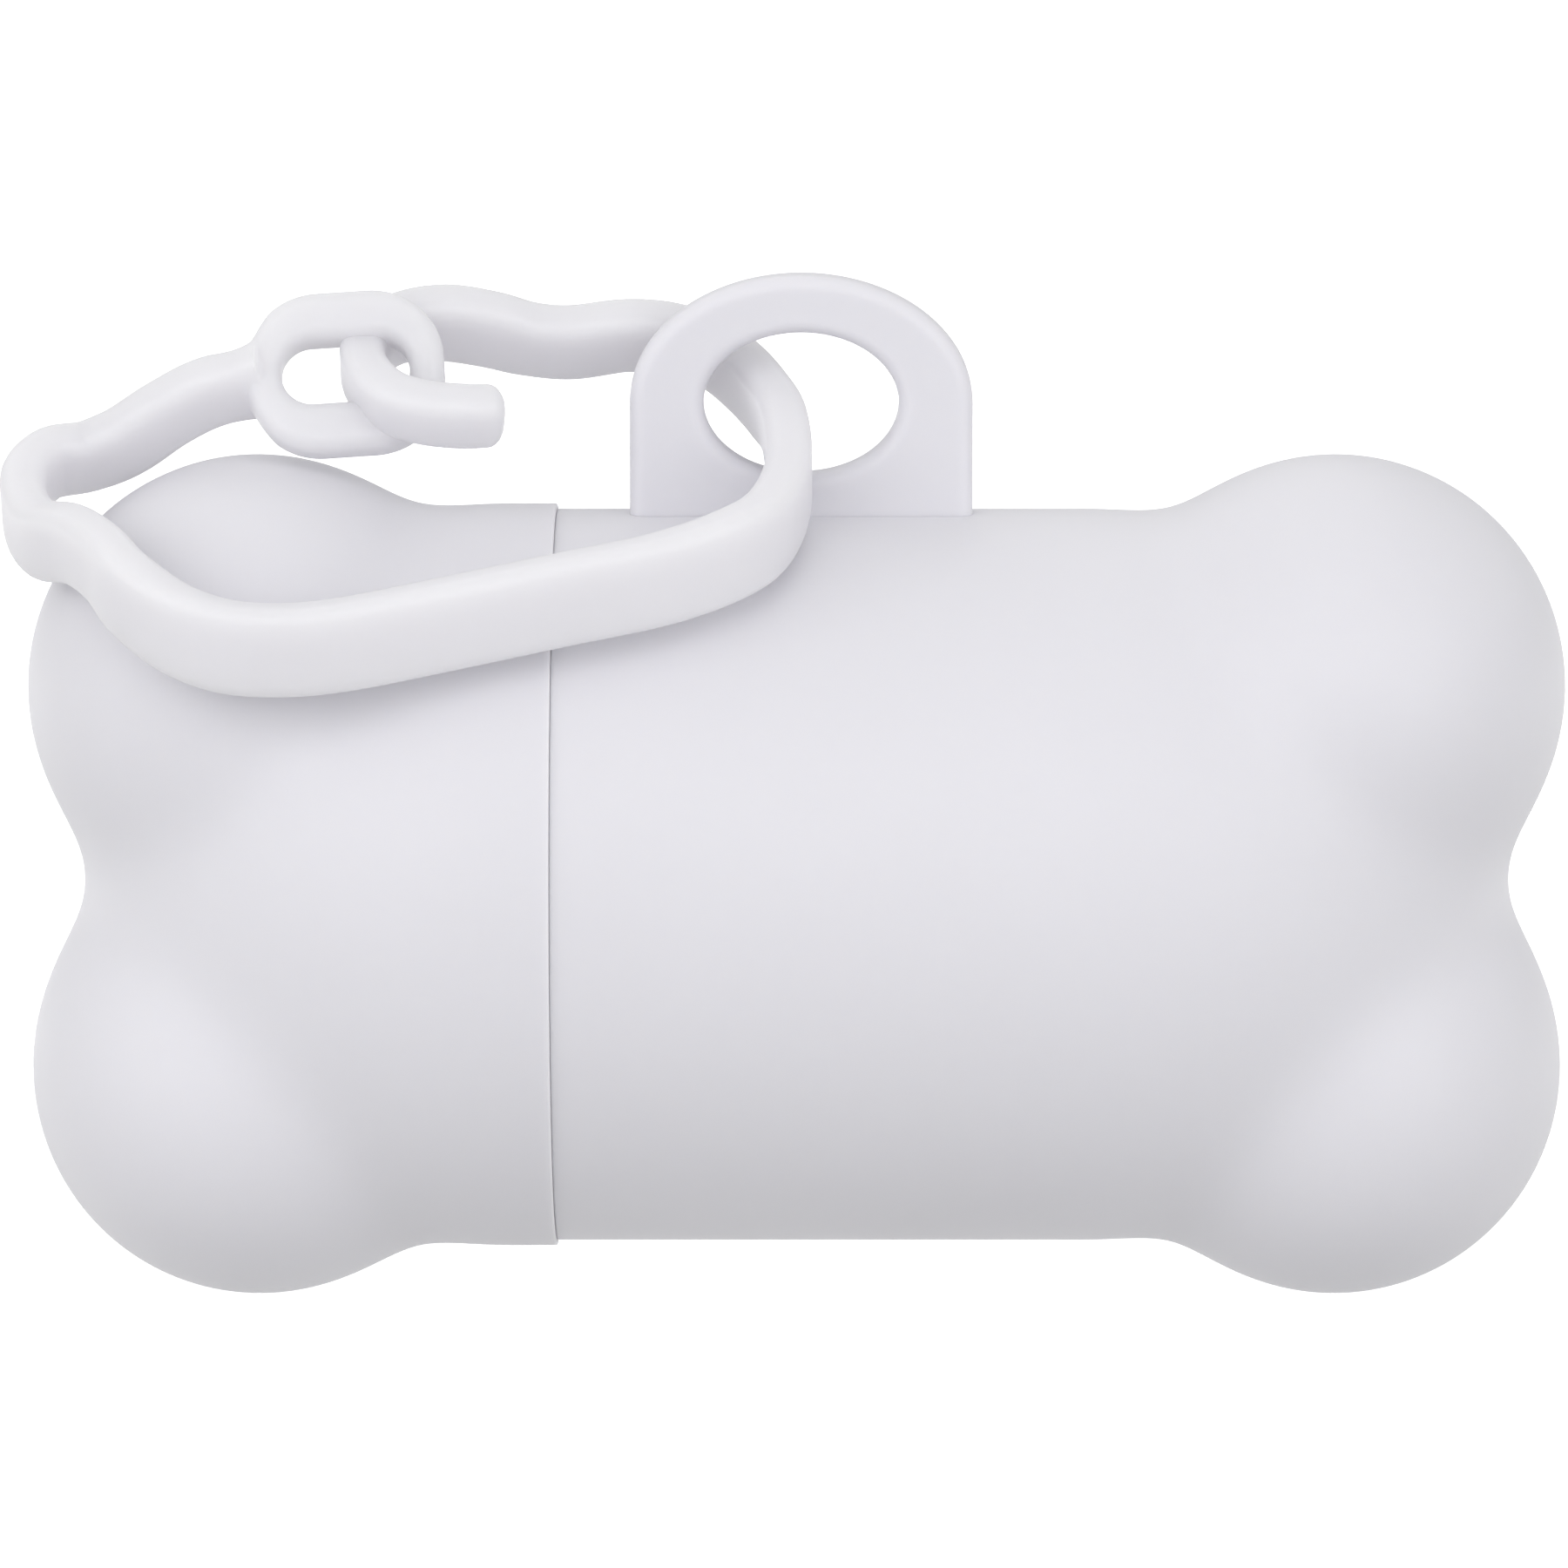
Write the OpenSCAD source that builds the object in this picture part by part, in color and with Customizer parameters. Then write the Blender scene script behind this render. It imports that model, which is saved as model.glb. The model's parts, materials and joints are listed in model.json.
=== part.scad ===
// Bone-shaped dispenser for a roll of dog waste bags.
// A hollow bone of white plastic splits at a seam: the longer half (housing) has
// a thin neck that the shorter half (end_cap) pushes over. A flat tab with an eye
// stands on the barrel, and a moulded strap, hooked into its own link, runs
// through the eye. A roll of bags turns inside and feeds out of a slot at the back.
// The origin is the centre of the tab's eye. X runs along the bone, Y to the back.

/* [Bone] */
// Outside radius of the barrel
barrel_r = 20.2; // [19:0.1:22]
// How far the cap's skin stands proud of the barrel
cap_step = 0.3; // [0.1:0.05:0.6]
// Wall of both halves
case_wall = 1.8; // [1.4:0.1:2.2]
// Distance from the middle to where each end starts to round off
dome_start = 15.4; // [14:0.1:18]
// Length of each rounded end between its lobes
dome_len = 23.5; // [21:0.5:26]
// Radius of the four lobes, seen from the front
lobe_r = 12.6; // [11:0.1:14]
// Half depth of the lobes, front to back
lobe_depth = 15.5; // [13:0.1:17]
// Distance of the lobes' centres from the middle, along the bone
lobe_x = 29.7; // [28:0.1:32]
// Distance of the lobes' centres from the bone's axis
lobe_z = 10.65; // [9:0.05:12]
// Softness of the valleys between barrel and lobes
valley = 0.95; // [0.5:0.05:1.5]

/* [Seam and neck] */
// Distance of the seam from the bone's middle
seam_x = 13.2; // [10:0.1:14]
// Gap between the two halves at the seam
seam_gap = 0.2; // [0.1:0.05:0.5]
// Rounding of the two rims at the seam
rim_round = 0.5; // [0.2:0.05:0.8]
// Length of the neck inside the cap
neck_len = 5; // [4:0.5:6]
// Wall of the cap where it goes over the neck
lip_wall = 1.2; // [0.8:0.05:1.3]
// Radial play of the neck in the cap
neck_clear = 0.1; // [0.05:0.01:0.2]

/* [Tab] */
// Width of the tab
tab_w = 18.8; // [17:0.1:21]
// Thickness of the tab
tab_t = 2.9; // [2:0.1:3.2]
// Height of the tab's arch above the centre of the eye
tab_top = 7.05; // [6.5:0.05:9]
// Width of the eye
eye_w = 10.7; // [10.5:0.1:12]
// Height of the eye
eye_h = 7.8; // [7.6:0.1:9]
// Height of the eye's centre above the barrel
eye_rise = 6.1; // [5.8:0.1:8]
// Distance of the eye's centre from the bone's middle
eye_x = 0.25; // [0:0.05:1]

/* [Bag slot] */
// Length of the slot
slot_l = 22; // [16:0.5:24]
// Height of the slot
slot_h = 5; // [4.5:0.1:8]
// Distance of the slot's middle from the bone's middle
slot_x = 2; // [0:0.5:4]

/* [Bag roll] */
// Length of the roll
roll_l = 57; // [50:0.5:57]
// How far the roll lies from the bone's middle, towards the housing's end
roll_shift = 0.5; // [0.5:0.1:2]
// Room between the end of a full roll and the housing under it
roll_play = 0.54; // [0.4:0.02:3.5]
// Outside radius of the core
core_r = 5; // [4:0.1:5]
// Wall of the core
core_wall = 1; // [0.6:0.1:2]
// How far the roll's axis lies below the bone's axis
roll_drop = 0.8; // [0:0.1:1]

/* [Strap] */
// Thickness of the strap
strap_t = 2.5; // [2:0.1:2.8]
// Rounding of the strap's edges
strap_round = 1; // [0.5:0.05:1]
// Outside length of the link
link_l = 10.8; // [10:0.1:11.5]
// Outside height of the link
link_h = 9.2; // [9:0.1:10]
// Width of the link's long bars
link_bar = 2.8; // [2.2:0.1:2.9]
// Width of the link's end bars
link_end = 1.9; // [1.7:0.1:2.2]
// Outside radius of the link's corners
link_round = 4; // [3.5:0.1:4.6]

/* [Hidden] */
$fn = 96;

plastic = [0.89, 0.885, 0.9];
film = [0.16, 0.17, 0.18];
card = [0.72, 0.6, 0.45];

cap_r = barrel_r + cap_step;
bore_r = barrel_r - case_wall;
socket_r = cap_r - lip_wall;
neck_r = socket_r - neck_clear;
// Room past the end of the neck in the cap's socket
socket_play = 0.5;
// Bevel on the neck's end
neck_bevel = 0.3;
// How far one solid reaches into the next where they merge
merge = 1;
// The rounded ends lie this much inside the round rims that they merge with
skin_step = 0.02;

// Radius of the housing's inside over the end of the roll
end_reach = (roll_l / 2 + roll_shift - dome_start) / (dome_len - case_wall);
over_end_r = bore_r * sqrt(1 - pow(max(end_reach, 0), 2));
// Radius of a full roll
roll_r = over_end_r - roll_drop - roll_play;

// Sides of a ring round the bone, and its rings over a rounded end
skin_sides = 48;
skin_rings = 12;
// The rays over a rounded end start here, between the two lobes
hub_x = dome_start + dome_len * 0.36;
ray_max = 45;
ray_halvings = 18;

// ---- skin of the bone ----

// Distance-like value of the rounded barrel of radius r: negative inside
function barrel_value(p, r) =
    norm([max(p.x - dome_start, 0) * r / dome_len, p.y, p.z]) - r;

// The same for the lobe above (side 1) or below (side -1) the axis
function lobe_value(p, side) =
    norm([p.x - lobe_x, p.y * lobe_r / lobe_depth, p.z - side * lobe_z]) - lobe_r;

// Smooth least of three values, which rounds the valleys between the forms
function soft_min(a, b, c) =
    let (m = min(a, b, c))
    m - valley * ln(exp((m - a) / valley) + exp((m - b) / valley) + exp((m - c) / valley));

function bone_value(p, r) = soft_min(barrel_value(p, r), lobe_value(p, 1), lobe_value(p, -1));

// Distance along the ray from o towards d at which the skin is met
function reach(o, d, r, near = 0, far = ray_max, left = ray_halvings) =
    let (mid = (near + far) / 2)
    left == 0 ? mid
    : bone_value(o + mid * d, r) > 0 ? reach(o, d, r, near, mid, left - 1)
    : reach(o, d, r, mid, far, left - 1);

// A ring of skin points: rays from o, raised by lift towards the end
function skin_ring(o, lift, r) = [
    for (i = [0:skin_sides - 1])
        let (a = 360 * i / skin_sides, d = [sin(lift), cos(lift) * cos(a), cos(lift) * sin(a)])
        o + reach(o, d, r) * d
];

// Faces of a closed skin: flat first ring, quads split in two, and a tip
function skin_faces(rings, sides) = concat(
    [[for (i = [0:sides - 1]) i]],
    [for (k = [0:rings - 2], i = [0:sides - 1])
        let (j = (i + 1) % sides) [k * sides + i, (k + 1) * sides + i, k * sides + j]],
    [for (k = [0:rings - 2], i = [0:sides - 1])
        let (j = (i + 1) % sides) [k * sides + j, (k + 1) * sides + i, (k + 1) * sides + j]],
    [for (i = [0:sides - 1]) [(rings - 1) * sides + i, rings * sides, (rings - 1) * sides + (i + 1) % sides]]
);

// One rounded end with its two lobes, from the plane x = from to the tip at +X
module bone_end(r, from) {
    flat_rings = 7;
    rr = r - skin_step;
    stations = [for (k = [0:flat_rings - 1]) from + (hub_x - from) * k / flat_rings];
    rings = concat(
        [for (x = stations) skin_ring([x, 0, 0], 0, rr)],
        [for (k = [0:skin_rings - 1]) skin_ring([hub_x, 0, 0], 90 * k / skin_rings, rr)]
    );
    tip = [hub_x + reach([hub_x, 0, 0], [1, 0, 0], rr), 0, 0];
    polyhedron(
        points = concat([for (ring = rings, p = ring) p], [tip]),
        faces = skin_faces(len(rings), skin_sides)
    );
}

// ---- round walls along the bone ----

// Places what is drawn round Z so that it runs along +X from x = from
module along_x(from) translate([from, 0, 0]) rotate([0, 90, 0]) children();

// A quarter circle of radius c at the corner [x, y] of a profile, going out and up
function round_corner(x, y, c) = [for (a = [0:15:90]) [x - c + c * cos(a), y + c - c * sin(a)]];

// A solid round of radius r and length l, its first edge rounded by rim_round
module rimmed_round(r, l) rotate_extrude()
    polygon(concat([[0, l], [r, l]], round_corner(r, 0, rim_round), [[0, 0]]));

// A bore of radius r from x = from, ending round from x = turn over length l
module bore(r, from, turn, l) along_x(0) rotate_extrude()
    polygon(concat([[0, from], [r, from]], [for (a = [0:5:90]) [r * cos(a), turn + l * sin(a)]]));

// The inside of a half, open to -X from x = from: a bore with a rounded end, and
// hollows in the lobes, kept within the bore's width so that a mould can leave
module hollow(r, from) {
    bore(r, from, dome_start, dome_len - case_wall);
    intersection() {
        along_x(dome_start - merge) cylinder(r = r, h = lobe_x + lobe_r);
        for (side = [-1, 1]) translate([0, 0, side * lobe_z])
            bore(lobe_r - case_wall, dome_start - 2 * merge, lobe_x, lobe_r - case_wall);
    }
}

// ---- tab and slot ----

function ellipse(a, b, from = 0, to = 360, step = 5) =
    [for (t = [from:step:to - 0.01]) [a * cos(t), b * sin(t)]];

// The tab's outline, with the eye's centre at the origin
module tab_outline() difference() {
    polygon(concat(ellipse(tab_w / 2, tab_top, 0, 181), [[-tab_w / 2, -tab_foot], [tab_w / 2, -tab_foot]]));
    polygon(ellipse(eye_w / 2, eye_h / 2));
}
// The tab's foot ends inside the barrel's wall
tab_foot = eye_rise + case_wall / 2;

module tab() rotate([90, 0, 0]) translate([0, 0, -tab_t / 2]) linear_extrude(height = tab_t) tab_outline();

// The slot's cutter through the back wall: a bar with round ends
module slot_cutter() translate([slot_x, barrel_r + merge, 0]) rotate([90, 0, 0]) {
    half = (slot_l - slot_h) / 2;
    deep = case_wall + 2 * merge + 1;
    translate([-half, -slot_h / 2, 0]) cube([2 * half, slot_h, deep]);
    for (side = [-1, 1]) translate([side * half, 0, 0]) cylinder(d = slot_h, h = deep);
}

// ---- strap ----

// The strap's middle line from the hook's tip, through the eye, round the front
// and back to the link. Each row is x, y, z, the lean of the strap's edge towards
// the front in degrees, and its width there.
strap_route = [
    [-16.2,  -4.3,  -0.2, 40, 3.3], [-18.5,  -4.6,  -0.2, 40, 3.5], [-20.7,  -4.3,   0.0, 40, 3.5],
    [-22.5,  -3.3,   0.5, 40, 3.5], [-23.7,  -1.5,   1.4, 40, 3.5], [-24.0,   0.5,   2.3, 40, 3.5],
    [-23.4,   2.4,   3.0, 40, 3.7], [-22.0,   3.4,   3.7, 40, 4.1], [-19.7,   3.8,   3.9, 40, 4.5],
    [-17.3, 4.3, 3.5, 40, 4.5], [-15.1, 4.8, 2.9, 42, 4.4], [-12.7, 4.8, 2.7, 42, 4.4],
    [-9.6, 4.6, 3.1, 42, 4.3], [-7.0, 5.1, 2.8, 42, 4.3], [-4.9, 5.0, 2.1, 42, 4.4],
    [ -3.2,   4.1,   0.9, 40, 4.5], [-1.8, 1.5, -0.3, 38, 4.3], [-0.9, -1.8, -1.4, 36, 4.0],
    [-0.7, -5.9, -3.8, 27, 4.7], [-1.7, -10.5, -5.5, 18, 4.8], [-3.7, -13.4, -6.5, 12, 4.9],
    [-7.5, -15.2, -7.6, 10, 4.9], [-13.0, -16.4, -8.6, 10, 4.9], [-19.5, -17.7, -9.8, 10, 4.9],
    [-24.1, -18.5, -10.6, 10, 4.9], [-27.4, -18.8, -10.9, 10, 4.9], [-30.6, -18.8, -10.7, 10, 4.9],
    [-33.4, -18.0, -9.8, 12, 4.8], [-35.9, -15.9, -8.3, 16, 4.7], [-37.4, -13.3, -7.1, 22, 4.4],
    [-39.2, -9.9, -6.5, 28, 4.3], [-41.2, -6.4, -6.7, 30, 4.3], [-42.3, -3.4, -5.9, 32, 4.2],
    [-42.5, -0.8, -4.6, 36, 4.1], [-41.4, 1.3, -3.6, 38, 4.1], [-39.3, 2.2, -3.3, 40, 4.1],
    [-37.2, 1.8, -2.4, 42, 4.1], [-34.9, 0.8, -0.8, 42, 4.0], [-32.5, 0.0, 0.5, 40, 4.0],
    [-29.8, -0.6, 1.2, 36, 3.8]
];
strap_steps = 2;
// The hook's tip is rounded over this length
tip_round = 0.6;
// Centre of the link, its lean towards the front and its climb towards the hook
link_at = [-24.9, -0.8, 1.6];
link_lean = 27;
link_climb = 4;
link_corner_steps = 6;

// Smooth curve through the route's rows (Catmull-Rom), n steps from row to row
function route_row(r, i) = i < 0 ? 2 * r[0] - r[1] : i >= len(r) ? 2 * r[len(r) - 1] - r[len(r) - 2] : r[i];
function between(a, b, c, d, t) =
    (2 * b + (c - a) * t + (2 * a - 5 * b + 4 * c - d) * t * t + (3 * b - a - 3 * c + d) * t * t * t) / 2;
function smooth_route(r, n) = concat(
    [for (i = [0:len(r) - 2], k = [0:n - 1])
        between(route_row(r, i - 1), route_row(r, i), route_row(r, i + 1), route_row(r, i + 2), k / n)],
    [r[len(r) - 1]]
);

function place(row) = [row[0], row[1], row[2]];
function unit(v) = v / norm(v);
function heading(r, i) = unit(place(r[min(i + 1, len(r) - 1)]) - place(r[max(i - 1, 0)]));

// Outline of a bar w wide and t thick with rounded edges, as pairs [across, through]
function bar_section(w, t) =
    let (c = min(strap_round, w / 2 - 0.05, t / 2 - 0.05))
    [for (q = [0:3], a = [0:45:90])
        let (sx = (q == 0 || q == 3) ? 1 : -1, sy = q < 2 ? 1 : -1)
        [sx * (w / 2 - c) + c * cos(90 * q + a), sy * (t / 2 - c) + c * sin(90 * q + a)]];

// The strap's ring of points round row i of the smoothed route
function strap_ring(r, i, shrink = 0, ahead = 0) =
    let (
        t = heading(r, i),
        lean = r[i][3],
        n = unit(cross(t, [0, -sin(lean), cos(lean)])),
        w = cross(n, t),
        o = place(r[i]) + ahead * t
    )
    [for (s = bar_section(r[i][4] - 2 * shrink, strap_t - 2 * shrink)) o + s[0] * w + s[1] * n];

// A tube of triangles over rings of equal count: closed on itself, or with flat ends
function tube_faces(rings, sides, ring_shut) = concat(
    [for (k = [0:rings - (ring_shut ? 1 : 2)], i = [0:sides - 1])
        let (j = (i + 1) % sides, m = (k + 1) % rings) [k * sides + i, m * sides + i, k * sides + j]],
    [for (k = [0:rings - (ring_shut ? 1 : 2)], i = [0:sides - 1])
        let (j = (i + 1) % sides, m = (k + 1) % rings) [k * sides + j, m * sides + i, m * sides + j]],
    ring_shut ? [] : [[for (i = [0:sides - 1]) i], [for (i = [sides - 1:-1:0]) (rings - 1) * sides + i]]
);

module tube(rings, ring_shut = false) polyhedron(
    points = [for (ring = rings, p = ring) p],
    faces = tube_faces(len(rings), len(rings[0]), ring_shut)
);

module strap_band() {
    r = smooth_route(strap_route, strap_steps);
    tube(concat(
        [strap_ring(r, 0, tip_round, -tip_round), strap_ring(r, 0, tip_round * 0.3, -tip_round * 0.7)],
        [for (i = [0:len(r) - 1]) strap_ring(r, i)]
    ));
}

// Ring q of the link: a bar between its outer and inner rounded outlines
function link_ring(quarter, a) =
    let (
        sx = (quarter == 0 || quarter == 3) ? 1 : -1,
        sy = quarter < 2 ? 1 : -1,
        inner_round = min(link_round - (link_bar + link_end) / 2 + 0.35, link_h / 2 - link_bar - 0.1),
        d = [cos(90 * quarter + a), sin(90 * quarter + a)],
        outer = [sx * (link_l / 2 - link_round), sy * (link_h / 2 - link_round)] + link_round * d,
        inner = [sx * (link_l / 2 - link_end - inner_round), sy * (link_h / 2 - link_bar - inner_round)]
            + inner_round * d,
        mid = (outer + inner) / 2,
        out = (outer - mid) / norm(outer - mid)
    )
    [for (s = bar_section(norm(outer - inner), strap_t))
        [mid.x + s[0] * out.x, mid.y + s[0] * out.y, -s[1]]];

module link() translate(link_at) rotate([90 - link_lean, 0, 0]) rotate([0, 0, link_climb])
    tube(
        [for (q = [0:3], k = [0:link_corner_steps]) link_ring(q, 90 * k / link_corner_steps)],
        ring_shut = true
    );

// ---- sub-parts ----

// Moves what is drawn round the bone's middle to its place under the eye
module in_bone() translate([-eye_x, 0, -eye_rise - barrel_r]) children();

module housing() color(plastic) in_bone() difference() {
    union() {
        along_x(-seam_x + seam_gap / 2) rimmed_round(barrel_r, seam_x + merge);
        bone_end(barrel_r, 0);
        along_x(-seam_x - neck_len) rotate_extrude() polygon([
            [0, 0], [neck_r - neck_bevel, 0], [neck_r, neck_bevel], [neck_r, neck_len + merge],
            [0, neck_len + merge]
        ]);
        translate([eye_x, 0, barrel_r + eye_rise]) tab();
    }
    hollow(bore_r, -seam_x - neck_len - merge);
    slot_cutter();
}

module end_cap() color(plastic) in_bone() mirror([1, 0, 0]) difference() {
    union() {
        along_x(seam_x + seam_gap / 2) rimmed_round(cap_r, 2 * merge);
        bone_end(cap_r, seam_x + merge);
    }
    hollow(cap_r - case_wall, seam_x - merge);
    along_x(seam_x - merge) cylinder(r = socket_r, h = merge + neck_len + socket_play);
}

module strap() color(plastic) union() {
    strap_band();
    link();
}

module on_roll_axis() {
    in_bone() translate([roll_shift - roll_l / 2, 0, -roll_drop]) rotate([0, 90, 0]) children();
}

module roll_core() color(card) on_roll_axis() difference() {
    cylinder(r = core_r, h = roll_l);
    translate([0, 0, -merge]) cylinder(r = core_r - core_wall, h = roll_l + 2 * merge);
}

module bag_roll() color(film) on_roll_axis() difference() {
    cylinder(r = roll_r, h = roll_l);
    translate([0, 0, -merge]) cylinder(r = core_r, h = roll_l + 2 * merge);
}

housing();
end_cap();
strap();
roll_core();
bag_roll();
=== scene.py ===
"""Looks of a bone-shaped dispenser for a roll of dog waste bags.

The case is a hollow white bone in two halves with a flat hanging tab, and a moulded
strap hooked into its own link hangs in the tab's eye. Sizes are in millimetres, and
each mesh is brought to metres, in the part's frame, when it is finished.
"""

from __future__ import annotations

import json
import logging
import math
from collections.abc import Callable, Iterable
from dataclasses import dataclass, field
from enum import Enum

import bmesh
import bpy
import numpy as np
from mathutils import Matrix, Vector, noise

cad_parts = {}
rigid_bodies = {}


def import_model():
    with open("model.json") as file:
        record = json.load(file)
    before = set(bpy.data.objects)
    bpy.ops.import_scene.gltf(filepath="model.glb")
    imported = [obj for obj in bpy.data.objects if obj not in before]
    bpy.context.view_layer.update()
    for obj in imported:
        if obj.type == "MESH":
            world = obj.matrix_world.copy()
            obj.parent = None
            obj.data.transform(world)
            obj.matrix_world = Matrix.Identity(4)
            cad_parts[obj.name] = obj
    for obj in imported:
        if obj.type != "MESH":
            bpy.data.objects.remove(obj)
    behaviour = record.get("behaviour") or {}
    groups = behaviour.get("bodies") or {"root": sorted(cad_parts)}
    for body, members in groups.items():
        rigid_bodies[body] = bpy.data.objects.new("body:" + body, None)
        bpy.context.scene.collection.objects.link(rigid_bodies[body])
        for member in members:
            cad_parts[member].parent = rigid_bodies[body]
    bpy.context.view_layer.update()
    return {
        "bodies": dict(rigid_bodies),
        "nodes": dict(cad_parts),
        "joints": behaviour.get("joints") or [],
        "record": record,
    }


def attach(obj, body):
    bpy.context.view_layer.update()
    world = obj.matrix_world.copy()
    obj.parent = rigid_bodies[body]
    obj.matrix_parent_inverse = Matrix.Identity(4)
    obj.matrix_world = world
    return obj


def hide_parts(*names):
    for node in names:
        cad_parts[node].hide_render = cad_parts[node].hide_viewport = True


LOG = logging.getLogger("bag_dispenser")
MM = 0.001

# Edges bent by more than this many degrees stay sharp.
CREASE = 38.0
# Points of a mesh that are nearer than this, in millimetres, are one: in a blank, and in
# what a boolean leaves.
BLANK_MERGE = 1e-4
BOOLEAN_MERGE = 1e-5

Row = tuple[float, ...]
Colour = tuple[float, float, float]
Point = tuple[float, float]
Surface = Callable[[np.ndarray], np.ndarray]
Socket = bpy.types.NodeSocket


class Body(Enum):
    """The rigid bodies that pieces ride on."""

    HOUSING = "housing"
    CAP = "cap"
    STRAP = "strap"
    ROLL = "roll"


class Finish(Enum):
    """The record's material slots."""

    CASE = "case_plastic"
    STRAP = "strap_plastic"
    FILM = "bag_film"
    CARD = "core_card"


# ---------------------------------------------------------------- mesh helpers


def placed(bm: bmesh.types.BMesh, name: str) -> bpy.types.Object:
    """Puts a bmesh, which is freed, into a new object of the scene and returns the object."""
    mesh = bpy.data.meshes.new(name)
    bm.to_mesh(mesh)
    bm.free()
    obj = bpy.data.objects.new(name, mesh)
    bpy.context.scene.collection.objects.link(obj)
    return obj


def close_holes(bm: bmesh.types.BMesh) -> None:
    """Puts one face in each open end."""
    bmesh.ops.holes_fill(bm, edges=[edge for edge in bm.edges if edge.is_boundary], sides=0)


def finish_mesh(bm: bmesh.types.BMesh, name: str, place: Matrix) -> bpy.types.Object:
    """Turns a bmesh in millimetres into an object in metres in the part's frame.

    Args:
        bm: The mesh, which is freed.
        name: The piece's name.
        place: Where the mesh's own frame lies in the part's frame, in millimetres.

    Returns:
        The new object, at the origin.
    """
    bmesh.ops.transform(bm, matrix=Matrix.Scale(MM, 4) @ place, verts=bm.verts)
    for face in bm.faces:
        face.smooth = True
    limit = math.radians(CREASE)
    for edge in bm.edges:
        edge.smooth = len(edge.link_faces) != 2 or edge.calc_face_angle(0.0) < limit
    return placed(bm, name)


def combine(base: bmesh.types.BMesh, other: bmesh.types.BMesh, operation: str) -> bmesh.types.BMesh:
    """Joins, or cuts, one closed mesh with another.

    Args:
        base: The mesh that is kept. It is freed.
        other: The mesh that is added or taken away. It is freed.
        operation: UNION or DIFFERENCE.

    Returns:
        A new bmesh of the result.
    """
    holders = [placed(bm, "scratch") for bm in (base, other)]
    cut = holders[0].modifiers.new("combine", "BOOLEAN")
    cut.operation, cut.solver, cut.object = operation, "EXACT", holders[1]
    graph = bpy.context.evaluated_depsgraph_get()
    result = bmesh.new()
    result.from_object(holders[0], graph)
    for obj in holders:
        mesh = obj.data
        bpy.data.objects.remove(obj)
        bpy.data.meshes.remove(mesh)
    bmesh.ops.remove_doubles(result, verts=result.verts, dist=BOOLEAN_MERGE)
    bmesh.ops.triangulate(result, faces=[face for face in result.faces if len(face.verts) > 4])
    bmesh.ops.dissolve_degenerate(result, dist=BLANK_MERGE, edges=result.edges)
    return result


def soften_near(bm: bmesh.types.BMesh, centres: list[Vector], radius: float, rounds: int) -> None:
    """Rounds off the creases round a few places, as a fillet would.

    Args:
        bm: The mesh.
        centres: The middles of the places.
        radius: Points further than this from every middle stay where they are.
        rounds: How often each point is moved, at most halfway, to its neighbours' mean.
    """
    close = {}
    for vert in bm.verts:
        far = min((vert.co - centre).length for centre in centres) / radius
        if far < 1:
            close[vert] = min(1 - far, 0.5)
    for _ in range(rounds):
        means = []
        for vert in close:
            around = [edge.other_vert(vert).co for edge in vert.link_edges]
            means.append(sum(around, Vector()) / len(around))
        for (vert, share), mean in zip(close.items(), means):
            vert.co = vert.co.lerp(mean, share)


def spun(profile: Iterable[Point], steps: int) -> bmesh.types.BMesh:
    """A surface of revolution about X.

    Args:
        profile: Points (along X, distance from X), from one end to the other.
        steps: Sides of the turn.

    Returns:
        The mesh, closed where the profile meets the axis.
    """
    bm = bmesh.new()
    verts = [bm.verts.new((x, 0.0, r)) for x, r in profile]
    edges = [bm.edges.new(pair) for pair in zip(verts, verts[1:])]
    bmesh.ops.spin(
        bm, geom=verts + edges, cent=(0, 0, 0), axis=(1, 0, 0), dvec=(0, 0, 0),
        angle=2 * math.pi, steps=steps, use_merge=True, use_duplicate=False,
    )
    bmesh.ops.remove_doubles(bm, verts=bm.verts, dist=BLANK_MERGE)
    return bm


def loop_stack(
    bm: bmesh.types.BMesh, sides: int, levels: Iterable[Row], place: Callable[[float, Row], Row]
) -> tuple[list[bmesh.types.BMEdge], list[bmesh.types.BMEdge]]:
    """Makes a wall by extruding a closed loop of edges from level to level.

    Args:
        bm: The mesh that gets the wall.
        sides: Points in the loop.
        levels: What place needs to know of each level, from the first to the last.
        place: Gives a point for its angle round the loop, in radians, and its level.

    Returns:
        The edges of the first loop and of the last.
    """
    turn = bm.verts.layers.float.get("turn") or bm.verts.layers.float.new("turn")
    ring = bmesh.ops.create_circle(bm, cap_ends=False, segments=sides, radius=1.0)["verts"]
    for vert in ring:
        vert[turn] = math.atan2(vert.co.y, vert.co.x)
    first = edges = list({edge for vert in ring for edge in vert.link_edges})
    for number, level in enumerate(levels):
        if number:
            grown = bmesh.ops.extrude_edge_only(bm, edges=edges)["geom"]
            edges = [item for item in grown if isinstance(item, bmesh.types.BMEdge)]
            ring = [item for item in grown if isinstance(item, bmesh.types.BMVert)]
        for vert in ring:
            vert.co = place(vert[turn], level)
    return first, edges


def arc(
    x: float, r: float, radius: float, start: float, end: float, steps: int
) -> list[Point]:
    """Points of a quarter or other arc in a profile.

    Args:
        x: Centre along X.
        r: Centre's distance from X.
        radius: The arc's radius.
        start: First angle in degrees, counted from +X towards +R.
        end: Last angle in degrees.
        steps: Number of steps.

    Returns:
        The arc's points, both ends included.
    """
    turns = (math.radians(start + (end - start) * k / steps) for k in range(steps + 1))
    return [(x + radius * math.cos(t), r + radius * math.sin(t)) for t in turns]


def span(first: float, last: float, steps: int) -> list[float]:
    """Evenly spaced values from first to last, both included."""
    return [first + (last - first) * k / steps for k in range(steps + 1)]


# ---------------------------------------------------------------- the bone's form


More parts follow.
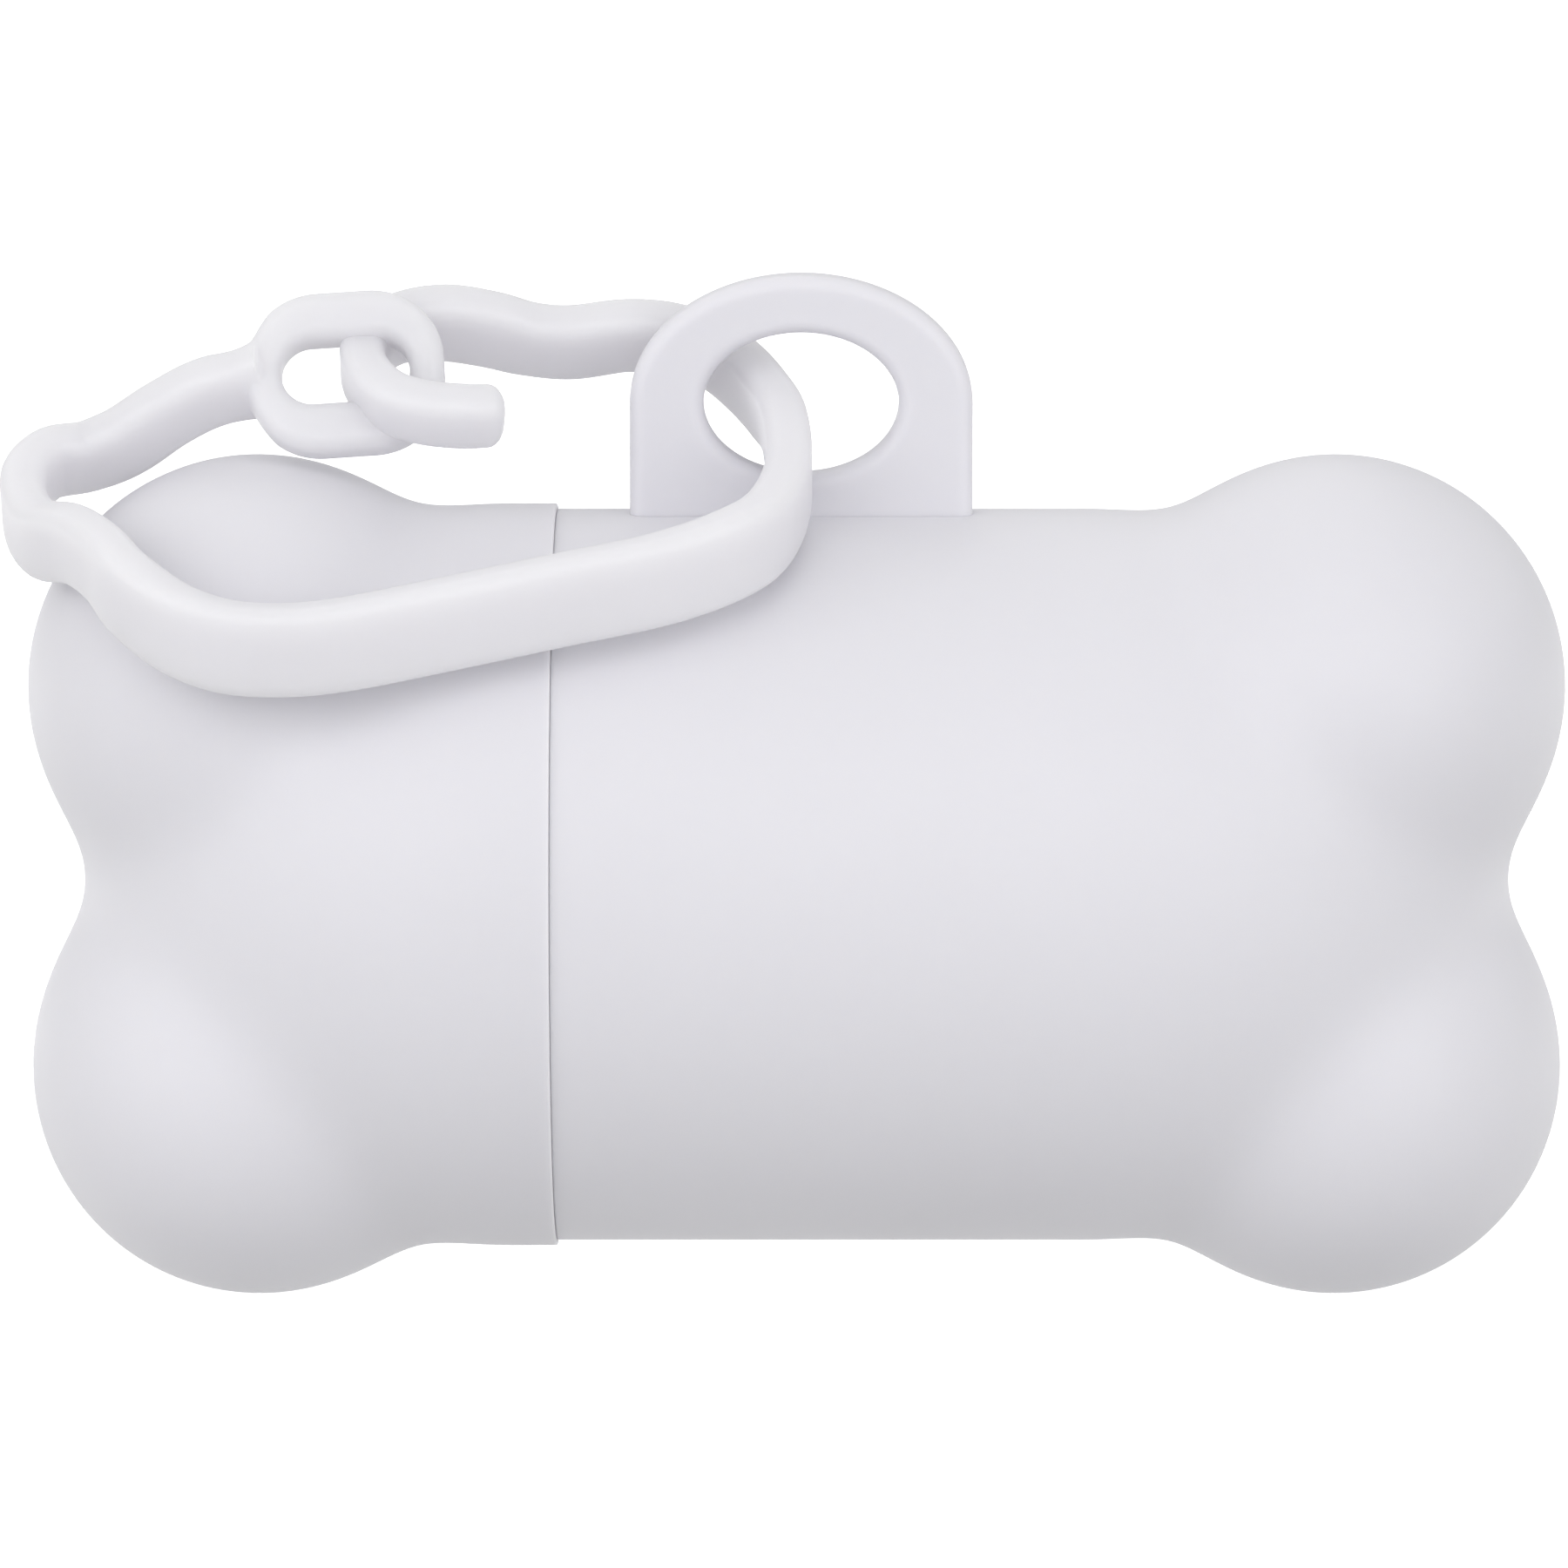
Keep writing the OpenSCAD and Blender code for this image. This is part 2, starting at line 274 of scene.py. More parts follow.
@dataclass(frozen=True)
class BoneForm:
    """The rounded bone: a barrel with a rounded end and two lobes on each side.

    The meshes start as round blanks. Each point is then moved along its ray, which starts on
    the axis, until it meets the wanted surface.
    """

    barrel_r: float = 20.2
    cap_r: float = 20.5
    wall: float = 1.8
    dome_start: float = 15.4
    dome_len: float = 23.5
    lobe_r: float = 12.6
    lobe_depth: float = 15.5
    lobe_x: float = 29.7
    lobe_z: float = 10.65
    valley: float = 0.95
    seam_x: float = 13.2
    eye_x: float = 0.25
    eye_z: float = 26.3

    # How the blanks are cast: where the rays fan out, as a share of the rounded end's
    # length, how near a blank's points lie to its radius, and how far each ray is searched.
    hub_share: float = 0.36
    blank_play: float = 1e-3
    ray_length: float = 45.0
    ray_halvings: int = 34

    # Steps along the profiles, close together over the lobes as far as dense_from.
    dense_from: float = 10.0
    tip_steps: int = 72
    dense_steps: int = 34
    sparse_steps: int = 14
    short_steps: int = 26
    inner_steps: int = 22
    inner_tip_steps: int = 26

    @property
    def hub(self) -> float:
        """Where along X the rays over the rounded end start."""
        return self.dome_start + self.hub_share * self.dome_len

    @property
    def place(self) -> Matrix:
        """The bone's middle in the part's frame, whose origin is the eye's centre."""
        return Matrix.Translation((-self.eye_x, 0.0, -self.eye_z))

    def skin(self, r: float) -> Surface:
        """The outside for a barrel of radius r, as a function that is zero on the skin."""

        def value(p: np.ndarray) -> np.ndarray:
            run = np.maximum(p[:, 0] - self.dome_start, 0) * r / self.dome_len
            parts = [np.sqrt(run**2 + p[:, 1] ** 2 + p[:, 2] ** 2) - r]
            deep = p[:, 1] * self.lobe_r / self.lobe_depth
            for side in (1, -1):
                rise = p[:, 2] - side * self.lobe_z
                along = p[:, 0] - self.lobe_x
                parts.append(np.sqrt(along**2 + deep**2 + rise**2) - self.lobe_r)
            low = np.minimum.reduce(parts)
            return low - self.valley * np.log(sum(np.exp((low - v) / self.valley) for v in parts))

        return value

    def hollow(self, r: float) -> Surface:
        """The inside of a half with a bore of radius r, as a function that is zero on it."""
        lobe_r = self.lobe_r - self.wall

        def value(p: np.ndarray) -> np.ndarray:
            run = np.maximum(p[:, 0] - self.dome_start, 0) * r / (self.dome_len - self.wall)
            dome = np.sqrt(run**2 + p[:, 1] ** 2 + p[:, 2] ** 2) - r
            bore = np.hypot(p[:, 1], p[:, 2]) - r
            past = np.maximum(p[:, 0] - self.lobe_x, 0)
            rise = np.abs(p[:, 2]) - self.lobe_z
            lobe = np.sqrt(past**2 + p[:, 1] ** 2 + rise**2) - lobe_r
            return np.minimum(dome, np.maximum(lobe, bore))

        return value

    def ray_start(self, point: Vector) -> Vector:
        """Where the ray through a blank's point starts on the bone's axis."""
        return Vector((min(point.x, self.hub), 0.0, 0.0))

    def cast(self, bm: bmesh.types.BMesh, *skins: tuple[float, Surface]) -> None:
        """Moves the points of round blanks along their own rays onto surfaces.

        Args:
            bm: The mesh that holds the blanks.
            skins: For each blank its radius, by which its points are found, and a
                function that is zero on the wanted surface and negative inside.
        """
        reach = {vert: (vert.co - self.ray_start(vert.co)).length for vert in bm.verts}
        blanks = [
            [vert for vert, far in reach.items() if abs(far - radius) < self.blank_play]
            for radius, _ in skins
        ]
        for (_, surface), blank in zip(skins, blanks):
            start = np.array([self.ray_start(v.co) for v in blank])
            way = np.array([v.co for v in blank]) - start
            way /= np.linalg.norm(way, axis=1)[:, None]
            near, far = np.zeros(len(blank)), np.full(len(blank), self.ray_length)
            for _ in range(self.ray_halvings):
                middle = (near + far) / 2
                outside = surface(start + way * middle[:, None]) > 0
                far, near = np.where(outside, middle, far), np.where(outside, near, middle)
            for vert, point in zip(blank, start + way * near[:, None]):
                vert.co = point

    def outer_blank(self, r: float, first: float) -> list[Point]:
        """The outside's profile before it is cast, from the tip back to x = first."""
        if first < self.dense_from:
            along = span(self.hub, self.dense_from, self.dense_steps)
            along += span(self.dense_from, first, self.sparse_steps)[1:]
        else:
            along = span(self.hub, first, self.short_steps)
        return arc(self.hub, 0.0, r, 0, 90, self.tip_steps) + [(x, r) for x in along[1:]]

    def inner_blank(self, r: float, first: float) -> list[Point]:
        """The inside's profile before it is cast, from x = first to the inner tip."""
        along = [(x, r) for x in span(first, self.hub, self.inner_steps)]
        return along + arc(self.hub, 0.0, r, 90, 0, self.inner_tip_steps)[1:]


# ---------------------------------------------------------------- the case


@dataclass
class HangingTab:
    """The flat tab with its oval eye. Its frame is the eye's: X along, Z up."""

    width: float = 18.8
    thick: float = 2.9
    top: float = 7.05
    foot: float = 7.0
    eye_w: float = 10.7
    eye_h: float = 7.8
    edge: float = 0.75
    edge_steps: int = 8
    # Loops on the flat faces, this far in from the rounded edge.
    face_rings: tuple[float, ...] = (0.6, 0.15)
    sides: int = 160

    def arch(self, turn: float, level: Row) -> Row:
        """A point of the tab's outside: half an oval over straight sides and a flat foot."""
        inset, y = level
        c, s = math.cos(turn), math.sin(turn)
        half = self.width / 2
        if s >= 0:
            out = Vector((c / half, s / self.top)).normalized() * inset
            return half * c - out.x, y, self.top * s - out.y
        reach = min((half - inset) / max(abs(c), 1e-9), self.foot / -s)
        return reach * c, y, reach * s

    def eye(self, turn: float, level: Row) -> Row:
        """A point of the eye's wall, which turns the other way round."""
        inset, y = level
        c, s = math.cos(turn), -math.sin(turn)
        out = Vector((c / self.eye_w, s / self.eye_h)).normalized() * inset
        return self.eye_w / 2 * c + out.x, y, self.eye_h / 2 * s + out.y

    def build(self) -> bmesh.types.BMesh:
        """Builds the tab with soft edges, in the eye's frame."""
        bm = bmesh.new()
        flat, edge = self.thick / 2, self.edge
        front = [(edge + ring, -flat) for ring in self.face_rings]
        for turn in map(math.radians, span(0, 90, self.edge_steps)):
            front.append((edge * (1 - math.sin(turn)), -flat + edge * (1 - math.cos(turn))))
        levels = front + [(inset, -y) for inset, y in reversed(front)]
        loops = [loop_stack(bm, self.sides, levels, wall) for wall in (self.arch, self.eye)]
        for outer, inner in zip(*loops):
            bmesh.ops.bridge_loops(bm, edges=outer + inner)
        bmesh.ops.recalc_face_normals(bm, faces=bm.faces)
        return bm


# Levels of the bag slot's wall, from inside the bore to outside the case: how much wider
# than the slot itself, and how far from the axis.
SLOT_LEVELS: tuple[Point, ...] = (
    (1.0, 16.0), (1.0, 19.45), (1.02, 19.75), (1.06, 19.95), (1.14, 20.1), (1.3, 20.3), (1.7, 20.8),
)


@dataclass
class Case:
    """Both halves of the bone: the housing with neck, tab and slot, and the cap."""

    seam_show: float = 0.01
    form: BoneForm = field(default_factory=BoneForm)
    tab: HangingTab = field(default_factory=HangingTab)
    neck_len: float = 5.0
    neck_bevel: float = 0.3
    lip_wall: float = 1.2
    neck_clear: float = 0.1
    socket_play: float = 0.5
    rim: float = 0.1
    rim_steps: int = 8
    lead_in: float = 0.2
    slot_l: float = 22.0
    slot_h: float = 5.0
    slot_x: float = 2.0
    slot_sides: int = 74
    sides: int = 192

    @property
    def socket_r(self) -> float:
        """Inside radius of the cap where it goes over the neck."""
        return self.form.cap_r - self.lip_wall

    def slot_wall(self, turn: float, level: Row) -> Row:
        """A point of the bag slot's wall, which widens towards the outside."""
        wider, y = level
        r = self.slot_h / 2
        x = math.copysign((self.slot_l - self.slot_h) / 2, math.cos(turn))
        return self.slot_x + x + r * wider * math.cos(turn), y, r * wider * math.sin(turn)

    def slot_cutter(self) -> bmesh.types.BMesh:
        """The bar with round ends that cuts the bag slot."""
        bm = bmesh.new()
        loop_stack(bm, self.slot_sides, SLOT_LEVELS, self.slot_wall)
        close_holes(bm)
        bmesh.ops.recalc_face_normals(bm, faces=bm.faces)
        return bm

    def outside(self, r: float, edge: float) -> list[Point]:
        """The outside's profile of a half, from its tip to its rounded rim at x = edge."""
        first, soft = edge + self.rim, self.rim
        rounded = arc(first, r - soft, soft, 90, 180, self.rim_steps)
        return self.form.outer_blank(r, first) + rounded[1:]

    def half(self, profile: list[Point], r: float, bore: float) -> bmesh.types.BMesh:
        """Builds a half of the bone, with its tip towards +X.

        Args:
            profile: Its whole profile, as blanks.
            r: Radius of the outer blank.
            bore: Radius of the inner blank.

        Returns:
            The closed mesh.
        """
        bm = spun(profile, self.sides)
        self.form.cast(bm, (r, self.form.skin(r)), (bore, self.form.hollow(bore)))
        return bm

    def housing(self) -> bpy.types.Object:
        """Builds the longer half, with its neck, its tab and the bag slot."""
        form, bore = self.form, self.form.barrel_r - self.form.wall
        neck_r = self.socket_r - self.neck_clear
        edge = -form.seam_x + self.seam_show / 2
        end = -form.seam_x - self.neck_len
        neck = [(edge, neck_r), (end + self.neck_bevel, neck_r), (end, neck_r - self.neck_bevel)]
        inside = [(end, bore + self.lead_in)] + form.inner_blank(bore, end + self.lead_in)
        profile = self.outside(form.barrel_r, edge) + neck + inside
        bm = self.half(profile, form.barrel_r, bore)
        bmesh.ops.recalc_face_normals(bm, faces=bm.faces)
        bm = combine(bm, self.slot_cutter(), "DIFFERENCE")
        tab = self.tab.build()
        bmesh.ops.translate(tab, vec=(form.eye_x, 0, form.eye_z), verts=tab.verts)
        bm = combine(bm, tab, "UNION")
        return finish_mesh(bm, "case_housing", form.place)

    def cap(self) -> bpy.types.Object:
        """Builds the shorter half, which pushes over the neck."""
        form, bore = self.form, self.form.cap_r - self.form.wall
        edge = form.seam_x + self.seam_show / 2
        depth = form.seam_x + self.neck_len + self.socket_play
        socket = [(edge, self.socket_r + self.lead_in), (edge + self.lead_in, self.socket_r)]
        inside = [(depth, self.socket_r)] + form.inner_blank(bore, depth)
        profile = self.outside(form.cap_r, edge) + socket + inside
        bm = self.half(profile, form.cap_r, bore)
        bmesh.ops.scale(bm, vec=(-1, 1, 1), verts=bm.verts)
        bmesh.ops.recalc_face_normals(bm, faces=bm.faces)
        return finish_mesh(bm, "case_end_cap", form.place)


# ---------------------------------------------------------------- the strap

# The strap's middle line from the hook's tip, through the eye, round the front and back
# to the link: x, y, z, the lean of its edge towards the front in degrees, and its width.
STRAP_ROUTE: tuple[Row, ...] = (
    (-16.2, -4.3, -0.2, 40, 3.3), (-18.5, -4.6, -0.2, 40, 3.5), (-20.7, -4.3, 0.0, 40, 3.5),
    (-22.5, -3.3, 0.5, 40, 3.5), (-23.7, -1.5, 1.4, 40, 3.5), (-24.0, 0.5, 2.3, 40, 3.5),
    (-23.4, 2.4, 3.0, 40, 3.7), (-22.0, 3.4, 3.7, 40, 4.1), (-19.7, 3.8, 3.9, 40, 4.5),
    (-17.3, 4.3, 3.5, 40, 4.5), (-15.1, 4.8, 2.9, 42, 4.4), (-12.7, 4.8, 2.7, 42, 4.4),
    (-9.6, 4.6, 3.1, 42, 4.3), (-7.0, 5.1, 2.8, 42, 4.3), (-4.9, 5.0, 2.1, 42, 4.4),
    (-3.2, 4.1, 0.9, 40, 4.5), (-1.8, 1.5, -0.3, 38, 4.3), (-0.9, -1.8, -1.4, 36, 4.0),
    (-0.7, -5.9, -3.8, 27, 4.7), (-1.7, -10.5, -5.5, 18, 4.8), (-3.7, -13.4, -6.5, 12, 4.9),
    (-7.5, -15.2, -7.6, 10, 4.9), (-13.0, -16.4, -8.6, 10, 4.9), (-19.5, -17.7, -9.8, 10, 4.9),
    (-24.1, -18.5, -10.6, 10, 4.9), (-27.4, -18.8, -10.9, 10, 4.9), (-30.6, -18.8, -10.7, 10, 4.9),
    (-33.4, -18.0, -9.8, 12, 4.8), (-35.9, -15.9, -8.3, 16, 4.7), (-37.4, -13.3, -7.1, 22, 4.4),
    (-39.2, -9.9, -6.5, 28, 4.3), (-41.2, -6.4, -6.7, 30, 4.3), (-42.3, -3.4, -5.9, 32, 4.2),
    (-42.5, -0.8, -4.6, 36, 4.1), (-41.4, 1.3, -3.6, 38, 4.1), (-39.3, 2.2, -3.3, 40, 4.1),
    (-37.2, 1.8, -2.4, 42, 4.1), (-34.9, 0.8, -0.8, 42, 4.0), (-32.5, 0.0, 0.5, 40, 4.0),
    (-29.8, -0.6, 1.2, 36, 3.8),
)


@dataclass
class Strap:
    """The moulded strap: a hook, a band and a link, in the part's own frame."""

    route: tuple[Row, ...] = STRAP_ROUTE
    thick: float = 2.5
    soft: float = 0.8
    least_flat: float = 0.02
    flat_share: float = 0.18
    fine: int = 8
    around: int = 40
    tip_round: float = 0.9
    tip_steps: int = 6
    tip_cut: int = 3

    # The link: its middle, how it leans and climbs in degrees, its outside and its bars.
    link_at: Row = (-24.9, -0.8, 1.6)
    link_lean: float = 27.0
    link_climb: float = 4.0
    link_l: float = 10.8
    link_h: float = 9.2
    link_bar: float = 2.8
    link_end: float = 1.9
    link_round: float = 4.0
    link_ease: float = 0.35
    link_gap: float = 0.1
    link_fine: int = 24

    # How the band widens, roots and is filleted where it runs into the link.
    flare: float = 0.9
    root: int = 2
    fillet_rise: float = 2.3
    fillet_reach: float = 2.1
    fillet_rounds: int = 16

    def bar_section(self, width: float, thick: float, turn: float) -> Point:
        """A point of a bar's outline.

        Args:
            width: The bar's width.
            thick: The bar's thickness.
            turn: How far round, from 0 to 1.

        Returns:
            The point as (across, through).
        """
        soft = min(self.soft, width / 2 - self.least_flat, thick / 2 - self.least_flat)
        quarter = int(turn * 4) % 4
        share = turn * 4 - int(turn * 4)
        corner = min(max((share - self.flat_share) / (1 - 2 * self.flat_share), 0.0), 1.0)
        angle = math.radians(90 * (quarter + corner))
        sx = 1 if quarter in (0, 3) else -1
        sy = 1 if quarter < 2 else -1
        flats = (width / 2 - soft, thick / 2 - soft)
        point = [sx * flats[0] + soft * math.cos(angle), sy * flats[1] + soft * math.sin(angle)]
        if corner in (0.0, 1.0):
            axis = 1 if (quarter + (corner == 1.0)) % 2 == 0 else 0
            reach = (self.flat_share - min(share, 1 - share)) / self.flat_share
            point[axis] -= math.copysign(flats[axis] * reach, point[axis])
        return point[0], point[1]

    def tube(
        self, rings: int, shut: bool, at: Callable[[float, float], Vector]
    ) -> bmesh.types.BMesh:
        """Makes a tube from a flat grid.

        Args:
            rings: Steps along the tube.
            shut: True if the tube's two ends meet.
            at: Gives the point for how far round and how far along, each from 0 to 1.

        Returns:
            The closed mesh.
        """
        bm = bmesh.new()
        bmesh.ops.create_grid(bm, x_segments=self.around, y_segments=rings, size=1.0)
        for vert in bm.verts:
            turn, along = (vert.co.x + 1) / 2 % 1.0, (vert.co.y + 1) / 2
            vert.co = at(turn, along % 1.0 if shut else along)
        bmesh.ops.remove_doubles(bm, verts=bm.verts, dist=BLANK_MERGE)
        if not shut:
            close_holes(bm)
        bmesh.ops.recalc_face_normals(bm, faces=bm.faces)
        return bm

    def smooth_route(self) -> np.ndarray:
        """The route as a smooth curve through its rows, several steps from row to row."""
        rows = np.array(self.route, float)
        rows = np.vstack([2 * rows[0] - rows[1], rows, 2 * rows[-1] - rows[-2]])
        steps = []
        for a, b, c, d in zip(rows, rows[1:], rows[2:], rows[3:]):
            for k in range(self.fine):
                t = k / self.fine
                bend, twist = 2 * a - 5 * b + 4 * c - d, 3 * b - a - 3 * c + d
                steps.append((2 * b + (c - a) * t + bend * t**2 + twist * t**3) / 2)
        return np.array(steps + [rows[-2]])

    def band(self) -> bmesh.types.BMesh:
        """Builds the hook and the band."""
        rows = self.smooth_route()[self.tip_cut:]
        ends = [rows[-1] + (rows[-1] - rows[-2]) * k for k in range(1, self.root + 1)]
        rows = np.vstack([rows, ends])
        tail = np.clip((np.arange(len(rows)) - len(rows) + 1) / self.fine + 1, 0, 1)
        rows[:, 4] += self.flare * tail**2
        headings = np.gradient(rows[:, :3], axis=0)
        headings /= np.linalg.norm(headings, axis=1)[:, None]
        rounding = self.tip_steps
        last = len(rows) - 1 + rounding

        def at(turn: float, along: float) -> Vector:
            step = round(along * last)
            index = max(step - rounding, 0)
            phase = math.radians(90 * min(step / rounding, 1.0))
            shrink = self.tip_round * (1 - math.sin(phase))
            ahead = -self.tip_round * math.cos(phase)
            x, y, z, lean, width = rows[index]
            way = Vector(headings[index])
            lean = math.radians(lean)
            through = way.cross(Vector((0, -math.sin(lean), math.cos(lean)))).normalized()
            across = through.cross(way)
            u, v = self.bar_section(width - 2 * shrink, self.thick - 2 * shrink, turn)
            return Vector((x, y, z)) + way * ahead + across * u + through * v

        return self.tube(last, False, at)

    @property
    def link_place(self) -> Matrix:
        """Where the link, drawn flat round its middle, lies in the part's frame."""
        climb = Matrix.Rotation(math.radians(self.link_climb), 4, "Z")
        lean = Matrix.Rotation(math.radians(90 - self.link_lean), 4, "X")
        return Matrix.Translation(self.link_at) @ lean @ climb

    def link(self) -> bmesh.types.BMesh:
        """Builds the small oval ring that the hook goes through."""
        inner_round = self.link_round - (self.link_bar + self.link_end) / 2 + self.link_ease
        inner_round = min(inner_round, self.link_h / 2 - self.link_bar - self.link_gap)
        total = 4 * self.link_fine

        def at(turn: float, along: float) -> Vector:
            step = round(along * total) % total
            quarter, part = divmod(step, self.link_fine)
            angle = math.radians(90 * (quarter + part / (self.link_fine - 1)))
            side = Vector((1 if quarter in (0, 3) else -1, 1 if quarter < 2 else -1))
            way = Vector((math.cos(angle), math.sin(angle)))
            half = Vector((self.link_l / 2, self.link_h / 2))
            bars = Vector((self.link_end, self.link_bar))
            outer = Vector(s * (h - self.link_round) for s, h in zip(side, half))
            inner = Vector(s * (h - b - inner_round) for s, h, b in zip(side, half, bars))
            outer, inner = outer + self.link_round * way, inner + inner_round * way
            middle, out = (outer + inner) / 2, (outer - inner)
            u, v = self.bar_section(out.length, self.thick, turn)
            point = middle + out.normalized() * u
            return Vector((point.x, point.y, v))

        bm = self.tube(total, True, at)
        bmesh.ops.transform(bm, matrix=self.link_place, verts=bm.verts)
        return bm

    def build(self) -> bpy.types.Object:
        """Builds the whole strap as one moulding, its band flowing into the link."""
        bm = combine(self.band(), self.link(), "UNION")
        corners = [
            self.link_place @ Vector((-self.link_l / 2, side * self.fillet_rise, 0))
            for side in (-1, 0, 1)
        ]
        soften_near(bm, corners, self.fillet_reach, self.fillet_rounds)
        return finish_mesh(bm, "carry_strap", Matrix.Identity(4))


# ---------------------------------------------------------------- the roll


@dataclass
class BagRoll:
    """The wound bags on their core, turning inside the case."""

    form: BoneForm = field(default_factory=BoneForm)
    radius: float = 12.998
    length: float = 57.0
    shift: float = 0.5
    core_r: float = 5.0
    drop: float = 0.8
    film: float = 0.16
    edge: float = 0.3
    edge_in: float = 0.05
    edge_steps: int = 4

    # The layers seen on the ends, and the waves of the outside.
    layer_gap: float = 0.02
    layer_step: float = 0.12
    ripple: float = 0.10
    ripple_rate: float = 2.3
    wave_scale: Row = (0.12, 0.35, 0.35)
    wave_deep: float = 0.12
    wave_lift: float = 0.6
    sink_power: int = 4
    turns: int = 34
    length_steps: int = 60
    sides: int = 160

    def sunk(self, point: Vector) -> float:
        """How far a point of the plain roll sinks: by the film's free edge and its waves."""
        around = math.atan2(point.y, -point.z) % (2 * math.pi)
        far = math.hypot(point.y, point.z)
        share = max((far - self.core_r) / (self.radius - self.core_r), 0.0)
        wave = noise.noise(Vector(c * scale for c, scale in zip(point, self.wave_scale)))
        deep = self.film * around / (2 * math.pi) + self.wave_deep * (wave + self.wave_lift)
        return share**self.sink_power * deep

    def build(self) -> bpy.types.Object:
        """Builds the wound film: stepped ends, a soft outside and the film's free edge."""
        half, profile = self.length / 2, []
        rings = span(self.core_r, self.radius - self.edge, self.turns)
        for k, (low, high) in enumerate(zip(rings, rings[1:])):
            deep = self.layer_step if k % 2 else 0.0
            x = -half + deep + self.ripple * math.sin(self.ripple_rate * k) ** 2
            profile += [(x, low + self.layer_gap), (x, high - self.layer_gap)]
        first = -half + self.edge + self.edge_in
        profile += arc(first, self.radius - self.edge, self.edge, 180, 90, self.edge_steps)
        end = len(profile)
        profile += [(x, self.radius) for x in span(first, -first, self.length_steps)[1:-1]]
        mirror = [(-x, r) for x, r in profile[:end]]
        ring = profile + mirror[::-1]
        bm = spun(ring + [ring[0]], self.sides)
        for vert in bm.verts:
            far, sink = math.hypot(vert.co.y, vert.co.z), self.sunk(vert.co)
            vert.co.yz = [c * (far - sink) / far for c in vert.co.yz]
        bmesh.ops.recalc_face_normals(bm, faces=bm.faces)
        bmesh.ops.translate(bm, vec=(self.shift, 0, -self.drop), verts=bm.verts)
        return finish_mesh(bm, "wound_bags", self.form.place)


# ---------------------------------------------------------------- finishes


class Nodes:
    """Short ways to place and wire shader nodes in one tree."""

    def __init__(self, tree: bpy.types.NodeTree) -> None:
        """Takes the tree and clears it."""
        self.tree = tree
        tree.nodes.clear()

    def add(
        self, kind: str, values: dict[str | int, object] | None = None, **settings: object
    ) -> bpy.types.Node:
        """Adds a node.

        Args:
            kind: The node's type name.
            values: Values of its input sockets; a socket as value is linked.
            settings: The node's own properties.

        Returns:
            The node.
        """
        node = self.tree.nodes.new(kind)
        for name, setting in settings.items():
            setattr(node, name, setting)
        for socket, value in (values or {}).items():
            if isinstance(value, Socket):
                self.tree.links.new(value, node.inputs[socket])
            else:
                node.inputs[socket].default_value = value
        return node

    def math(
        self, operation: str, first: object, second: object = 0.0, clamp: bool = False
    ) -> Socket:
        """Adds a Math node and returns its output."""
        sockets = {0: first, 1: second}
        node = self.add("ShaderNodeMath", sockets, operation=operation, use_clamp=clamp)
        return node.outputs[0]

    def vector(
        self, operation: str, sockets: dict[str | int, object], output: str = "Vector"
    ) -> Socket:
        """Adds a Vector Math node and returns one of its outputs."""
        return self.add("ShaderNodeVectorMath", sockets, operation=operation).outputs[output]

    def noise(self, place: Socket, scale: object, detail: float) -> Socket:
        """Adds a Noise Texture node and returns its value."""
        sockets = {"Vector": place, "Scale": scale, "Detail": detail}
        return self.add("ShaderNodeTexNoise", sockets).outputs["Fac"]

    def ramp(
        self, value: object, low: float, high: float, to_low: float = 0.0, to_high: float = 1.0
    ) -> Socket:
        """Adds a clamped Map Range node and returns its output."""
        sockets = {"Value": value, "From Min": low, "From Max": high}
        sockets.update({"To Min": to_low, "To Max": to_high})
        return self.add("ShaderNodeMapRange", sockets, clamp=True).outputs["Result"]

    def bump(self, height: Socket, strength: float, distance: float) -> Socket:
        """Adds a Bump node and returns its normal."""
        sockets = {"Strength": strength, "Distance": distance, "Height": height}
        return self.add("ShaderNodeBump", sockets).outputs["Normal"]

    def blend(self, share: object, first: object, second: object) -> Socket:
        """Mixes two colours and returns the colour."""
        node = self.add("ShaderNodeMix", data_type="RGBA")
        for index, value in ((0, share), (6, first), (7, second)):
            if isinstance(value, Socket):
                self.tree.links.new(value, node.inputs[index])
            else:
                node.inputs[index].default_value = value
        return node.outputs[2]

    def principled(self, values: dict[str | int, object]) -> None:
        """Adds a Principled shader and makes it the material's surface."""
        shader = self.add("ShaderNodeBsdfPrincipled", values)
        self.add("ShaderNodeOutputMaterial", {"Surface": shader.outputs[0]})

    def seen(self, *rays: str) -> Socket:
        """Adds a Light Path node and returns 1 for any of the named kinds of ray."""
        path = self.add("ShaderNodeLightPath").outputs
        found = path[rays[0]]
        for ray in rays[1:]:
            found = self.math("MAXIMUM", found, path[ray])
        return found


def new_material(name: str) -> tuple[bpy.types.Material, Nodes]:
    """Makes an empty material and the helper for its nodes."""
    material = bpy.data.materials.new(name)
    material.use_nodes = True
    return material, Nodes(material.node_tree)


def shared_group(
    name: str, inputs: dict[str, tuple[str, object]], outputs: dict[str, str]
) -> tuple[bpy.types.NodeTree, Nodes, bpy.types.Node, bpy.types.Node]:
    """Starts a shader node group.

    Args:
        name: The group's name.
        inputs: Input names with their socket kind and default.
        outputs: Output names with their socket kind.

    Returns:
        The group, its node helper, and its input and output nodes.
    """
    tree = bpy.data.node_groups.new(name, "ShaderNodeTree")
    nodes = Nodes(tree)
    for key, (kind, default) in inputs.items():
        tree.interface.new_socket(key, in_out="INPUT", socket_type=kind).default_value = default
    for key, kind in outputs.items():
        tree.interface.new_socket(key, in_out="OUTPUT", socket_type=kind)
    return tree, nodes, nodes.add("NodeGroupInput"), nodes.add("NodeGroupOutput")


